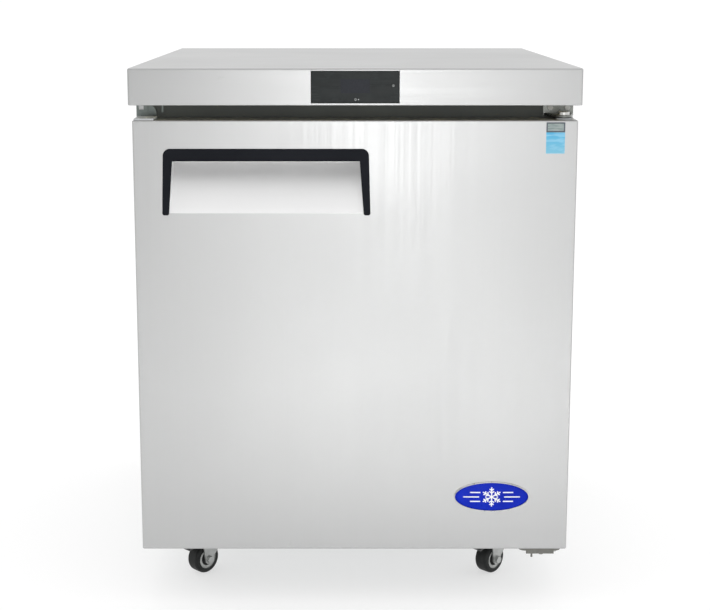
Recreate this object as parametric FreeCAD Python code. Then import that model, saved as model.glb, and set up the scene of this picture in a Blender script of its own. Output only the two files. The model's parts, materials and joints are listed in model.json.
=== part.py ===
"""Undercounter refrigerator on casters, one right-hinged door, worktop with a control panel in its apron.

Units are millimetres.  +X is the viewer's right when facing the door, the door faces -Y, +Z is up.
The origin is on the floor, under the middle of the worktop.
"""
import FreeCAD, Part
import math
import os

V = FreeCAD.Vector
X_AXIS, Y_AXIS, Z_AXIS = V(1, 0, 0), V(0, 1, 0), V(0, 0, 1)

# ---------------------------------------------------------------- driving dimensions
WIDTH = 698.5            # worktop, 27.5 in
DEPTH = 762.0            # worktop, 30 in
HEIGHT = 867.0           # floor to worktop, 34 1/8 in
APRON = 57.0             # height of the worktop's folded edge
SHEET = 1.2              # cabinet steel
TOP_SHEET = 1.5          # worktop steel
DOOR_SHEET = 1.0         # door and liner sheet
CASTER_HEIGHT = 92.0     # floor to the cabinet's underside
BODY_HALF_WIDTH = 346.0
BODY_FRONT = -311.0
BODY_BACK = 375.0
FOAM_WALL = 50.0         # insulated side walls
CAVITY_BOTTOM = 140.0
CAVITY_TOP = 765.0
CAVITY_BACK = 330.0
STEP_HEIGHT = 385.0      # shelf of the liner above the machine compartment
STEP_FRONT = 125.0
MACHINE_FRONT = 165.0
MACHINE_TOP = 345.0
DOOR_HALF_WIDTH = 344.0
DOOR_BOTTOM = 90.5
DOOR_TOP = 787.0
DOOR_FRONT = -378.0
DOOR_BACK = -321.0
HINGE_X = 325.0
HINGE_Y = -351.0
PIN_R = 5.0
RUNNING = 0.05           # radial clearance of a running fit
GASKET_FRONT = -311.4    # sealing face, just off the cabinet's frame
CASTER_TOP = 79.3        # floor to the casters' top plates, on 12.7 mm base rails
WHEEL_R = 25.4           # 2 in caster
WHEEL_W = 25.0
TRAIL = 18.0             # caster pivot to axle
TRAIL_ANGLE = 225.0      # direction from pivot to axle, degrees about +Z from +X
PIVOT_X = 246.0
PIVOT_FRONT_Y = -237.0
PIVOT_REAR_Y = 300.0
DISPLAY_HALF_WIDTH = 67.7
DISPLAY_BOTTOM = 813.7
DISPLAY_TOP = 862.6
SET_KEY = (0.5, 819.2)
POWER_KEY = (58.5, 840.4)
KEY_R = 2.4
FAN_X, FAN_Z, FAN_R = 0.0, 690.0, 50.0            # evaporator fan
COOL_X, COOL_Z, COOL_R = 170.0, 210.0, 88.0       # condenser fan
FAN_SHAFT_R = 3.0
COMPRESSOR = (-190.0, 268.0)

# ---------------------------------------------------------------- worked out
TOP_UNDER = HEIGHT - APRON
TOP_FRONT = -DEPTH / 2
CAVITY_HALF = BODY_HALF_WIDTH - SHEET - FOAM_WALL + 0.2
INNER_HALF = BODY_HALF_WIDTH - SHEET
FOAM_FRONT = BODY_FRONT + 6.0
PAN_TOP = CASTER_HEIGHT + SHEET
FOAM_TOP = TOP_UNDER - SHEET
SKIN_Y = BODY_BACK - SHEET


# ---------------------------------------------------------------- small tools
def block(x, y, z):
    """A box from three (low, high) pairs."""
    return Part.makeBox(x[1] - x[0], y[1] - y[0], z[1] - z[0], V(x[0], y[0], z[0]))


def rod(r, start, axis, length):
    """A cylinder from a start point along an axis."""
    return Part.makeCylinder(r, length, V(*start), axis)


def tube(r_out, r_in, start, axis, length):
    """A cylinder with a coaxial hole."""
    return rod(r_out, start, axis, length).cut(rod(r_in, start, axis, length))


def prism(points, direction):
    """A flat polygon pushed along a vector."""
    corners = [V(*p) for p in points]
    return Part.Face(Part.makePolygon(corners + corners[:1])).extrude(direction)


def joined(first, *others):
    """One solid from touching or crossing solids."""
    return first.multiFuse(list(others)).removeSplitter()


def cut_all(body, tools):
    """A solid less several others."""
    return body.cut(Part.makeCompound(tools))


def rounded(shape, r, pick):
    """Fillet the straight or round edges that pick(edge) chooses."""
    return shape.makeFillet(r, [e for e in shape.Edges if pick(e)])


def runs_along(edge, axis):
    """True for a straight edge parallel to an axis."""
    if len(edge.Vertexes) != 2:
        return False
    d = edge.Vertexes[1].Point.sub(edge.Vertexes[0].Point)
    return d.Length > 1e-6 and abs(abs(d.dot(axis)) - d.Length) < 1e-6


def middle(edge):
    """Centre of an edge's box."""
    return edge.BoundBox.Center


def ring_xz(x, z, border, y):
    """A rectangular frame in the XZ plane, from outer (low, high) pairs and a border width."""
    inner_x = (x[0] + border, x[1] - border)
    inner_z = (z[0] + border, z[1] - border)
    return block(x, y, z).cut(block(inner_x, (y[0] - 1, y[1] + 1), inner_z))


def turned(shape, angle, pivot):
    """A copy turned about +Z and moved to a pivot."""
    out = shape.copy()
    out.rotate(V(0, 0, 0), Z_AXIS, angle)
    out.translate(V(pivot[0], pivot[1], 0))
    return out


def pipe(points, r, bend):
    """A round tube along straight runs joined by tangent arcs of one radius."""
    pts = [V(*p) for p in points]
    edges = []
    start = pts[0]
    for before, corner, after in zip(pts, pts[1:], pts[2:]):
        a = before.sub(corner).normalize()
        b = after.sub(corner).normalize()
        half = a.getAngle(b) / 2
        reach = bend / math.tan(half)
        first = corner.add(V(a).multiply(reach))
        last = corner.add(V(b).multiply(reach))
        mid_dir = a.add(b).normalize()
        mid = corner.add(mid_dir.multiply(bend / math.sin(half) - bend))
        edges.append(Part.LineSegment(start, first).toShape())
        edges.append(Part.Arc(first, mid, last).toShape())
        start = last
    edges.append(Part.LineSegment(start, pts[-1]).toShape())
    path = Part.Wire(edges)
    section = Part.Wire(Part.makeCircle(r, pts[0], pts[1].sub(pts[0])))
    return path.makePipeShell([section], True, False)


parts = {}


def keep(name, *solids):
    """Store a node as one solid or a group of separate solids."""
    flat = [s for shape in solids for s in shape.Solids]
    parts[name] = flat[0] if len(flat) == 1 else Part.makeCompound(flat)


# ---------------------------------------------------------------- cabinet shell
def side_panel(sign):
    """Outer side sheet with returns on to the front, the back and the top."""
    def x(low, high):
        a, b = sign * low, sign * high
        return (min(a, b), max(a, b))
    full_z = (CASTER_HEIGHT, TOP_UNDER)
    sheet = block(x(INNER_HALF, BODY_HALF_WIDTH), (BODY_FRONT, BODY_BACK), full_z)
    front = block(x(330, BODY_HALF_WIDTH), (BODY_FRONT, BODY_FRONT + SHEET), full_z)
    back = block(x(329, BODY_HALF_WIDTH), (SKIN_Y, BODY_BACK), full_z)
    top = block(x(330, BODY_HALF_WIDTH), (BODY_FRONT, BODY_BACK), (FOAM_TOP, TOP_UNDER))
    panel = joined(sheet, front, back, top)
    corner = [e for e in panel.Edges if runs_along(e, Z_AXIS)
              and abs(abs(middle(e).x) - BODY_HALF_WIDTH) < 0.01]
    return panel.makeFillet(1.0, corner)


keep("side_panel_left", side_panel(-1))
keep("side_panel_right", side_panel(1))

# the back cover has two pressed stiffening ribs
back = block((-329, 329), (SKIN_Y, BODY_BACK), (MACHINE_TOP, TOP_UNDER))
for rib_z in (470.0, 690.0):
    rib = block((-290, 290), (BODY_BACK, BODY_BACK + 2.0), (rib_z - 9, rib_z + 9))
    rib = rib.makeChamfer(1.6, [e for e in rib.Edges if middle(e).y > BODY_BACK + 1.9])
    back = joined(back, rib)
keep("back_panel", back)

# the floor pan has two pressed ribs, and two cross rails of folded channel that carry the casters
pan = block((-INNER_HALF, INNER_HALF), (FOAM_FRONT, SKIN_Y), (CASTER_HEIGHT, PAN_TOP))
for rib_x in (-120.0, 120.0):
    pan = joined(pan, block((rib_x - 12, rib_x + 12), (-280, 350), (CASTER_HEIGHT - 3, CASTER_HEIGHT)))
for rail_y in (PIVOT_FRONT_Y, PIVOT_REAR_Y):
    rail = block((-300, 300), (rail_y - 40, rail_y + 40), (CASTER_TOP, CASTER_HEIGHT))
    rail = rail.cut(block((-301, 301), (rail_y - 38, rail_y + 38), (CASTER_TOP + 2, CASTER_HEIGHT)))
    pan = joined(pan, rail)
keep("bottom_pan", pan)


def cavity(grow):
    """The stepped storage space, grown outwards by a wall thickness, open at the front."""
    half = CAVITY_HALF + grow
    front = FOAM_FRONT
    low, high = CAVITY_BOTTOM - grow, CAVITY_TOP + grow
    outline = [(-half, front, low), (-half, STEP_FRONT + grow, low),
               (-half, STEP_FRONT + grow, STEP_HEIGHT - grow),
               (-half, CAVITY_BACK + grow, STEP_HEIGHT - grow),
               (-half, CAVITY_BACK + grow, high), (-half, front, high)]
    return prism(outline, V(2 * half, 0, 0))


DRAIN = (-30.0, 240.0)
drain_hole = rod(7.0, (DRAIN[0], DRAIN[1], MACHINE_TOP - 5), Z_AXIS, STEP_HEIGHT - MACHINE_TOP + 10)
foam = block((-INNER_HALF, INNER_HALF), (FOAM_FRONT, SKIN_Y), (PAN_TOP, FOAM_TOP))
foam = cut_all(foam, [cavity(DOOR_SHEET),
                      block((-INNER_HALF, INNER_HALF), (MACHINE_FRONT, SKIN_Y + 1), (PAN_TOP - 1, MACHINE_TOP)),
                      drain_hole])
keep("insulation", foam)

liner = cut_all(cavity(DOOR_SHEET), [cavity(0), drain_hole])
keep("inner_liner", liner)

# plastic frame round the door opening, with a throat that laps into the liner
frame = block((-330, 330), (BODY_FRONT, FOAM_FRONT), (CASTER_HEIGHT, TOP_UNDER))
throat = block((-CAVITY_HALF, CAVITY_HALF), (FOAM_FRONT, FOAM_FRONT + 18), (CAVITY_BOTTOM, CAVITY_TOP))
hole = block((2 - CAVITY_HALF, CAVITY_HALF - 2), (BODY_FRONT - 1, 0), (CAVITY_BOTTOM + 2, CAVITY_TOP - 2))
breaker = joined(frame, throat).cut(hole)
breaker = rounded(breaker, 1.5, lambda e: abs(middle(e).y - BODY_FRONT) < 0.01
                  and abs(middle(e).x) < CAVITY_HALF and CAVITY_BOTTOM < middle(e).z < CAVITY_TOP)
keep("breaker_frame", breaker)

# ---------------------------------------------------------------- worktop
top = block((-WIDTH / 2, WIDTH / 2), (TOP_FRONT, DEPTH / 2), (TOP_UNDER, HEIGHT))
top = rounded(top, 3.0, lambda e: middle(e).z > TOP_UNDER + 1)
top = rounded(top, 1.4, lambda e: middle(e).z < TOP_UNDER + 0.01)
inner_x = WIDTH / 2 - TOP_SHEET
inner_y = DEPTH / 2 - TOP_SHEET
LIP = 12.0
top = cut_all(top, [
    block((-inner_x, inner_x), (-inner_y, inner_y), (TOP_UNDER + TOP_SHEET, HEIGHT - TOP_SHEET)),
    block((-inner_x + LIP, inner_x - LIP), (-inner_y + LIP, inner_y - LIP), (TOP_UNDER - 1, HEIGHT - 10)),
    block((-DISPLAY_HALF_WIDTH - 0.5, DISPLAY_HALF_WIDTH + 0.5), (TOP_FRONT - 1, TOP_FRONT + 2),
          (DISPLAY_BOTTOM - 0.5, DISPLAY_TOP + 0.5))])
keep("worktop", top)

# the core has a pocket at the front for the controls and their wires
POCKET_HALF_X = 78.0
CONTROL_POCKET_Y = -340.0
CONTROL_POCKET_LOW = DISPLAY_BOTTOM - 0.5
core = block((-inner_x, inner_x), (-inner_y, inner_y), (TOP_UNDER + TOP_SHEET, HEIGHT - TOP_SHEET))
core = core.cut(block((-POCKET_HALF_X, POCKET_HALF_X), (TOP_FRONT, CONTROL_POCKET_Y),
                      (CONTROL_POCKET_LOW, HEIGHT)))
keep("worktop_core", core)

# ---------------------------------------------------------------- control panel in the apron
bezel = block((-DISPLAY_HALF_WIDTH, DISPLAY_HALF_WIDTH), (TOP_FRONT, -371), (DISPLAY_BOTTOM, DISPLAY_TOP))
bezel = rounded(bezel, 2.5, lambda e: runs_along(e, Y_AXIS))
bezel = rounded(bezel, 0.6, lambda e: middle(e).y < TOP_FRONT + 0.01)
WINDOW_X = DISPLAY_HALF_WIDTH - 3
WINDOW_Z = (DISPLAY_BOTTOM + 1.2, DISPLAY_TOP - 1.8)
LENS_BACK = TOP_FRONT + 2.4
bezel = cut_all(bezel, [block((-WINDOW_X, WINDOW_X), (TOP_FRONT - 1, LENS_BACK), WINDOW_Z),
                        block((-WINDOW_X + 2, WINDOW_X - 2), (LENS_BACK - 1, -370),
                              (WINDOW_Z[0] + 0.6, WINDOW_Z[1] - 1))])
keep("display_bezel", bezel)

lens = block((-WINDOW_X, WINDOW_X), (TOP_FRONT + 0.4, LENS_BACK), WINDOW_Z)
lens = cut_all(lens, [rod(KEY_R + 0.3, (x, TOP_FRONT - 1, z), Y_AXIS, 6) for x, z in (SET_KEY, POWER_KEY)])
keep("display_lens", lens)


def key(x, z):
    """A push key with a collar that stops it behind the lens."""
    cap = rounded(rod(KEY_R, (x, TOP_FRONT + 0.1, z), Y_AXIS, 7.0), 0.4,
                  lambda e: middle(e).y < TOP_FRONT + 0.2)
    collar = rod(KEY_R + 0.6, (x, LENS_BACK + 0.3, z), Y_AXIS, 1.2)
    return joined(cap, collar)


keep("set_key", key(*SET_KEY))
keep("power_key", key(*POWER_KEY))

# circuit board with the numeral block, two key switches and a few chips
board = block((-55, 64), (-371, -369.4), (814.8, 858.5))
numerals = block((-22.5, 22.5), (LENS_BACK + 0.3, -371), (829, 850.6))
switches = [block((x - 3, x + 3), (-372.8, -371), (z - 2.6, z + 3)) for x, z in (SET_KEY, POWER_KEY)]
chips = [block((x, x + 12), (-369.4, -366), (828, 846)) for x in (-45, -22, 1, 24)]
keep("control_board", joined(board, numerals, *switches, *chips))

# ---------------------------------------------------------------- hinges on the cabinet
PLATE_Z = (789.5, 793.5)
PLATE_H = PLATE_Z[1] - PLATE_Z[0]
TIP_R = 12.0
# the plate narrows from the cabinet's front to a round tip about the pin
arm = prism([(298, BODY_FRONT, PLATE_Z[0]), (345.5, BODY_FRONT, PLATE_Z[0]),
             (HINGE_X + TIP_R - 0.4, HINGE_Y - 3, PLATE_Z[0]), (HINGE_X - TIP_R + 0.8, HINGE_Y - 5, PLATE_Z[0])],
            V(0, 0, PLATE_H))
tip = rod(TIP_R, (HINGE_X, HINGE_Y, PLATE_Z[0]), Z_AXIS, PLATE_H)
leg = block((298, 345.5), (BODY_FRONT - 3, BODY_FRONT), (PLATE_Z[0], TOP_UNDER - 1))
swept = rounded(joined(arm, tip), 1.2, lambda e: middle(e).y < BODY_FRONT - 1 and not runs_along(e, Z_AXIS))
bracket = joined(swept, leg)
bracket = bracket.cut(rod(PIN_R + RUNNING, (HINGE_X, HINGE_Y, 780), Z_AXIS, 30))
keep("top_hinge_bracket", bracket)

FOOT_Z = (84.5, 88.0)
foot = block((268, 337), (-370, BODY_FRONT), FOOT_Z)
foot = rounded(foot, 12, lambda e: runs_along(e, Z_AXIS) and middle(e).y < -360)
foot_leg = block((268, 337), (BODY_FRONT - 3, BODY_FRONT), (FOOT_Z[0], 112))
# a folded lip stiffens the foot's front edge; a stop screw and its nut hang below
foot_lip = block((280, 325), (-370, -367.5), (79.5, FOOT_Z[1]))
stop_screw = rod(1.6, (290, -362, 71), Z_AXIS, FOOT_Z[0] - 71)
stop_nut = rod(3.6, (305, -362, 76.5), Z_AXIS, FOOT_Z[0] - 76.5)
lower = joined(foot, foot_leg, foot_lip, stop_screw, stop_nut)
lower = lower.cut(rod(PIN_R + RUNNING, (HINGE_X, HINGE_Y, 70), Z_AXIS, 30))
keep("bottom_hinge_bracket", lower)

top_pin = joined(rod(PIN_R, (HINGE_X, HINGE_Y, 768), Z_AXIS, PLATE_Z[1] + 1 - 768),
                 rounded(rod(9, (HINGE_X, HINGE_Y, PLATE_Z[1]), Z_AXIS, 5), 1,
                         lambda e: middle(e).z > PLATE_Z[1] + 4))
low_pin = joined(rod(PIN_R, (HINGE_X, HINGE_Y, FOOT_Z[0] - 1), Z_AXIS, 26),
                 rod(9, (HINGE_X, HINGE_Y, FOOT_Z[1]), Z_AXIS, 0.9),
                 rod(7, (HINGE_X, HINGE_Y, FOOT_Z[0] - 7), Z_AXIS, 7))
keep("hinge_pins", top_pin, low_pin)

# spare hinge plate on the left, for changing the door's hand: its inner upper corner is swept away in an arc
SPARE_X = (-345.5, -313.7)
spare = block(SPARE_X, (BODY_FRONT - 3, BODY_FRONT), (787.5, TOP_UNDER - 1))
spare = spare.cut(block((SPARE_X[1] - 15, SPARE_X[1] + 1), (BODY_FRONT - 4, BODY_FRONT + 1), (792, TOP_UNDER)))
spare = joined(spare, rod(15, (SPARE_X[1] - 15, BODY_FRONT - 3, 792), Y_AXIS, 3))
bead = rounded(block((-330, -327), (BODY_FRONT - 4.6, BODY_FRONT - 3), (796, TOP_UNDER - 1)), 0.7,
               lambda e: runs_along(e, Z_AXIS) and middle(e).y < BODY_FRONT - 4)
spare = joined(spare, bead)
spare = spare.cut(block((-342, -334), (BODY_FRONT - 5, BODY_FRONT + 1), (798, 805)))
frame_clip = rounded(block((-306, -302.8), (BODY_FRONT - 1.5, BODY_FRONT), (794, TOP_UNDER - 1)), 0.6,
                     lambda e: runs_along(e, Z_AXIS) and middle(e).y < BODY_FRONT - 1)
keep("reverse_hinge_plate", spare, frame_clip)

# ---------------------------------------------------------------- shelving
PILASTER_Y = (-250.0, 80.0)
PILASTER_Z = (160.0, 745.0)
pilasters = []
for sign in (-1, 1):
    for y in PILASTER_Y:
        strip_x = sorted((sign * (CAVITY_HALF - 3), sign * CAVITY_HALF))
        strip = block(strip_x, (y - 8, y + 8), PILASTER_Z)
        slots = [block((strip_x[0] - 1, strip_x[1] + 1), (y - 4, y + 4), (z, z + 7))
                 for z in range(180, 740, 30)]
        pilasters.append(cut_all(strip, slots))
keep("shelf_pilasters", *pilasters)

SHELF_Z = {"lower_shelf": 330.0, "upper_shelf": 540.0}
SHELF_X = 287.0
SHELF_Y = (-288.0, 112.0)
FRAME_R = 3.5
WIRE_R = 1.8


def wire_shelf(z):
    """A welded wire shelf: a round rim, three cross rods and thin deck wires."""
    low = z
    rim = [rod(FRAME_R, (-SHELF_X, y, low), X_AXIS, 2 * SHELF_X) for y in SHELF_Y]
    rim += [rod(FRAME_R, (x, SHELF_Y[0], low), Y_AXIS, SHELF_Y[1] - SHELF_Y[0]) for x in (-SHELF_X, SHELF_X)]
    balls = [Part.makeSphere(FRAME_R, V(x, y, low)) for x in (-SHELF_X, SHELF_X) for y in SHELF_Y]
    cross = [rod(FRAME_R - 0.6, (-SHELF_X, y, low), X_AXIS, 2 * SHELF_X) for y in (-155.0, -20.0)]
    deck = [rod(WIRE_R, (x, SHELF_Y[0], low + FRAME_R), Y_AXIS, SHELF_Y[1] - SHELF_Y[0])
            for x in [-SHELF_X + 26.1 * i for i in range(1, 22)]]
    return rim[0].multiFuse(rim[1:] + balls + cross + deck)


clips = []
for name, z in SHELF_Z.items():
    keep(name, wire_shelf(z))
    for sign in (-1, 1):
        for y in PILASTER_Y:
            x = sorted((sign * (CAVITY_HALF - 3), sign * (CAVITY_HALF - 16)))
            clip = block(x, (y - 7, y + 7), (z - FRAME_R - 3.2, z - FRAME_R - 0.2))
            hook = block(sorted((sign * (CAVITY_HALF - 3), sign * (CAVITY_HALF - 4.5))), (y - 7, y + 7),
                         (z - FRAME_R - 14, z - FRAME_R - 0.2))
            clips.append(joined(clip, hook))
keep("shelf_clips", *clips)

# ---------------------------------------------------------------- evaporator
HOUSING_Y = (215.0, 328.0)
HOUSING_Z = (480.0, 750.0)
HOUSING_X = 230.0
housing = block((-HOUSING_X, HOUSING_X), HOUSING_Y, HOUSING_Z)
housing = rounded(housing, 2.5, lambda e: middle(e).y < HOUSING_Y[0] + 0.01)
housing = cut_all(housing, [
    block((-HOUSING_X + 1.5, HOUSING_X - 1.5), (HOUSING_Y[0] + 1.5, HOUSING_Y[1] - 1.5),
          (HOUSING_Z[0] - 1, HOUSING_Z[1] - 1.5)),
    rod(FAN_R + 4, (FAN_X, HOUSING_Y[0] - 5, FAN_Z), Y_AXIS, 12)]
    + [block((x - 14, x + 14), (HOUSING_Y[0] - 1, HOUSING_Y[0] + 3), (z, z + 5))
       for x in (-170, -125, 125, 170) for z in range(640, 740, 12)])
guard = [tube(r, r - 2, (FAN_X, HOUSING_Y[0], FAN_Z), Y_AXIS, 1.5) for r in (18.0, 36.0)]
guard += [block((FAN_X - FAN_R - 6, FAN_X + FAN_R + 6), (HOUSING_Y[0], HOUSING_Y[0] + 1.5), (FAN_Z - 1.2, FAN_Z + 1.2)),
          block((FAN_X - 1.2, FAN_X + 1.2), (HOUSING_Y[0], HOUSING_Y[0] + 1.5), (FAN_Z - FAN_R - 6, FAN_Z + FAN_R + 6))]
keep("evaporator_housing", joined(housing, *guard))


def finned_coil(x, y, z, pitch, rows, tube_r):
    """A block of thin plate fins on straight tubes, with return bends left as end plates."""
    count = int((x[1] - x[0]) / pitch)
    fins = [block((x[0] + i * pitch, x[0] + i * pitch + 0.8), y, z) for i in range(count + 1)]
    tubes = [rod(tube_r, (x[0] - 8, ty, tz), X_AXIS, x[1] - x[0] + 16) for ty, tz in rows]
    return fins[0].multiFuse(fins[1:] + tubes)


evap_rows = [(y, z) for y in (245.0, 290.0) for z in (520.0, 560.0, 600.0)]
keep("evaporator_coil", finned_coil((-200.0, 200.0), (228.0, 318.0), (500.0, 620.0), 12.5, evap_rows, 4.5))


def fan_motor(x, z, y, r, shaft_end, plate):
    """A round motor with a rear cap, a bore for the shaft and a mounting strap."""
    can = rounded(rod(r, (x, y[0], z), Y_AXIS, y[1] - y[0]), 3, lambda e: e.Length > 6 * r - 1)
    strap = block((x - plate, x + plate), (y[1] - 4, y[1]), (z - 8, z + 8))
    bore = rod(FAN_SHAFT_R + RUNNING, (x, shaft_end, z), Y_AXIS, y[1] - 6 - shaft_end)
    return joined(can, strap).cut(bore)


def fan_blade(x, z, y, r, hub_r, blades, shaft_to):
    """An axial fan: hub, pitched blades and its shaft."""
    depth = y[1] - y[0]
    hub = rounded(rod(hub_r, (x, y[0], z), Y_AXIS, depth), 2, lambda e: e.Length > 6 * hub_r - 1)
    blade_list = []
    for i in range(blades):
        blade = block((-0.34 * r, 0.34 * r), (-0.9, 0.9), (hub_r * 0.7, r))
        blade = rounded(blade, 0.2 * r, lambda e: runs_along(e, Y_AXIS) and middle(e).z > r - 1)
        blade.rotate(V(0, 0, 0), Z_AXIS, 20)
        blade.rotate(V(0, 0, 0), Y_AXIS, 360.0 * i / blades)
        blade.translate(V(x, (y[0] + y[1]) / 2, z))
        blade_list.append(blade)
    tips = rod(r, (x, y[0] - r, z), Y_AXIS, 2 * r)
    body = joined(hub, *blade_list).common(tips)
    shaft = rod(FAN_SHAFT_R, (x, y[0] + 3, z), Y_AXIS, shaft_to - y[0] - 3)
    return joined(body, shaft)


keep("evaporator_fan_motor", fan_motor(FAN_X, FAN_Z, (250, 300), 26, 245, 34))
keep("evaporator_fan_blade", fan_blade(FAN_X, FAN_Z, (222, 240), FAN_R - 2, 15, 5, 285))

drain = joined(tube(6.5, 5, (DRAIN[0], DRAIN[1], 112), Z_AXIS, STEP_HEIGHT - 112),
               tube(14, 5, (DRAIN[0], DRAIN[1], STEP_HEIGHT), Z_AXIS, 2))
keep("drain_tube", drain)

# ---------------------------------------------------------------- machine compartment
can_x, can_y = COMPRESSOR
shell = rounded(rod(60, (can_x, can_y, 108), Z_AXIS, 150), 28, lambda e: e.Length > 300)
seam = rod(62.5, (can_x, can_y, 186), Z_AXIS, 6)
base = block((can_x - 78, can_x + 78), (can_y - 72, can_y + 72), (104, 108))
base = cut_all(rounded(base, 14, lambda e: runs_along(e, Z_AXIS)),
               [rod(4.5, (can_x + dx, can_y + dy, 100), Z_AXIS, 12) for dx in (-64, 64) for dy in (-58, 58)])
saddle = rod(40, (can_x, can_y, 106), Z_AXIS, 10)
terminal = block((can_x + 50, can_x + 74), (can_y - 22, can_y + 22), (205, 245))
ports = [rod(6, (can_x + dx, can_y, 240), Z_AXIS, 26) for dx in (-28, 28)]
keep("compressor", joined(shell, seam, base, saddle, terminal, *ports))

COIL_X, COIL_Y, COIL_Z = (45.0, 295.0), (302.0, 352.0), (112.0, 308.0)
cond_rows = [(y, z) for y in (314.0, 340.0) for z in (130.0, 162.0, 194.0, 226.0, 258.0, 290.0)]
keep("condenser_coil", finned_coil(COIL_X, COIL_Y, COIL_Z, 8.0, cond_rows, 4.5))

SHROUD = ((32.0, 308.0), (262.0, 352.0), (104.0, 316.0))
shroud = block(*SHROUD)
shroud = cut_all(shroud, [block((33.2, 306.8), (263.2, 353), (105.2, 314.8)),
                          rod(COOL_R + 5, (COOL_X, 255, COOL_Z), Y_AXIS, 20)]
                 + [block((31, 34), (333, 347), (z - 7, z + 7)) for z in (130, 290)])
feet = [block((x, x + 24), (262, 352), (PAN_TOP, 104)) for x in (40.0, 276.0)]
keep("condenser_shroud", joined(shroud, *feet))

# the motor hangs on a strap bent forwards from the shroud's face, clear of the blades
STRAP_REACH = COOL_R + 10
strap_z = (COOL_Z - 8, COOL_Z + 8)
arms = [block((COOL_X + s * STRAP_REACH - 4, COOL_X + s * STRAP_REACH + 4), (186, 262), strap_z) for s in (-1, 1)]
bar = block((COOL_X - STRAP_REACH - 4, COOL_X + STRAP_REACH + 4), (184, 188), strap_z)
cool_motor = joined(rounded(rod(34, (COOL_X, 188, COOL_Z), Y_AXIS, 48), 3, lambda e: e.Length > 200), bar, *arms)
cool_motor = cool_motor.cut(rod(FAN_SHAFT_R + RUNNING, (COOL_X, 196, COOL_Z), Y_AXIS, 50))
keep("condenser_fan_motor", cool_motor)

blade_set = fan_blade(COOL_X, COOL_Z, (242, 264), COOL_R - 2, 20, 5, 263)
cool_shaft = rod(FAN_SHAFT_R, (COOL_X, 200, COOL_Z), Y_AXIS, 45)
keep("condenser_fan_blade", joined(blade_set, cool_shaft))

# copper lines: compressor to condenser, condenser to drier, drier to evaporator, evaporator to compressor
PORT_Z = 266.0
discharge = pipe([(can_x + 28, can_y, PORT_Z), (can_x + 28, can_y, 325), (20, can_y, 325), (20, 340, 325),
                  (20, 340, 290), (COIL_X[0] - 8, 340, 290)], 4.0, 9.0)
liquid = pipe([(COIL_X[0] - 8, 340, 130), (0, 340, 130), (0, 340, 170)], 4.0, 9.0)
drier = joined(rod(9, (0, 340, 176), Z_AXIS, 70), Part.makeCone(4, 9, 6, V(0, 340, 170), Z_AXIS),
               Part.makeCone(9, 4, 6, V(0, 340, 246), Z_AXIS))
capillary = pipe([(0, 340, 252), (0, 340, 300), (-45, 340, 300), (-45, 340, MACHINE_TOP)], 2.0, 10.0)
suction = pipe([(can_x - 28, can_y, PORT_Z), (can_x - 28, can_y, 300), (can_x - 28, 320, 300),
                (can_x - 28, 320, MACHINE_TOP)], 5.0, 12.0)
keep("refrigerant_lines", discharge, liquid, drier, capillary, suction)

tray_x, tray_y = (-95.0, 22.0), (178.0, 320.0)
tray = block(tray_x, tray_y, (PAN_TOP, 118))
tray = rounded(tray, 8, lambda e: runs_along(e, Z_AXIS))
tray = tray.cut(block((tray_x[0] + 2.5, tray_x[1] - 2.5), (tray_y[0] + 2.5, tray_y[1] - 2.5), (PAN_TOP + 2.5, 119)))
keep("condensate_pan", tray)

wiring = rounded(block((-100, 12), (168, 222), (250, MACHINE_TOP)), 3, lambda e: runs_along(e, Z_AXIS))
wiring_lid = block((-96, 8), (222, 223.5), (254, MACHINE_TOP - 4))
keep("electrical_box", joined(wiring, wiring_lid))

# ---------------------------------------------------------------- rear grille and inlet
GLAND = (-285.0, 128.0)
grille = block((-329, 329), (SKIN_Y, BODY_BACK), (PAN_TOP, MACHINE_TOP))
slots, hoods = [], []
for centre in (-170.0, 170.0):
    for z in range(122, 320, 18):
        if centre < 0 and z < 150:
            continue
        slots.append(block((centre - 118, centre + 118), (SKIN_Y - 1, BODY_BACK + 1), (z, z + 8)))
        hoods.append(prism([(centre - 118, BODY_BACK, z + 9.6), (centre - 118, BODY_BACK + 4, z + 2.2),
                            (centre - 118, BODY_BACK + 4, z + 0.8), (centre - 118, BODY_BACK, z + 8)],
                           V(236, 0, 0)))
grille = cut_all(grille, slots + [rod(8.05, (GLAND[0], SKIN_Y - 1, GLAND[1]), Y_AXIS, 5)])
keep("rear_grille", grille.multiFuse(hoods))

GLAND_BORE = 4.5
gland = joined(rod(8, (GLAND[0], SKIN_Y - 14, GLAND[1]), Y_AXIS, 15.2),
               rounded(rod(13, (GLAND[0], BODY_BACK, GLAND[1]), Y_AXIS, 4), 1.2,
                       lambda e: middle(e).y > BODY_BACK + 3.9),
               rod(12, (GLAND[0], SKIN_Y - 6, GLAND[1]), Y_AXIS, 6))
keep("cord_gland", gland.cut(rod(GLAND_BORE, (GLAND[0], SKIN_Y - 20, GLAND[1]), Y_AXIS, 40)))


def pan_screw():
    """Pan-head screw with a cross recess, head towards +Y, seat at the origin."""
    head = rounded(rod(4.5, (0, 0, 0), Y_AXIS, 2.4), 1.2, lambda e: middle(e).y > 2.3)
    cross = [block((-2.4, 2.4), (1.2, 4), (-0.5, 0.5)), block((-0.5, 0.5), (1.2, 4), (-2.4, 2.4))]
    return cut_all(head, cross)


screws = []
seat_list = [(x, z) for x in (-318.0, 318.0) for z in (372.0, 520.0, 660.0, 795.0)]
seat_list += [(x, 795.0) for x in (-160.0, 0.0, 160.0)] + [(x, 360.0) for x in (-160.0, 0.0, 160.0)]
seat_list += [(x, z) for x in (-318.0, 318.0) for z in (104.0, 222.0, 336.0)]
seat_list += [(x, z) for x in (-20.0, 20.0) for z in (104.0, 336.0)]
one_screw = pan_screw()
for x, z in seat_list:
    screw = one_screw.copy()
    screw.translate(V(x, BODY_BACK, z))
    screws.append(screw)
keep("panel_screws", *screws)

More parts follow.
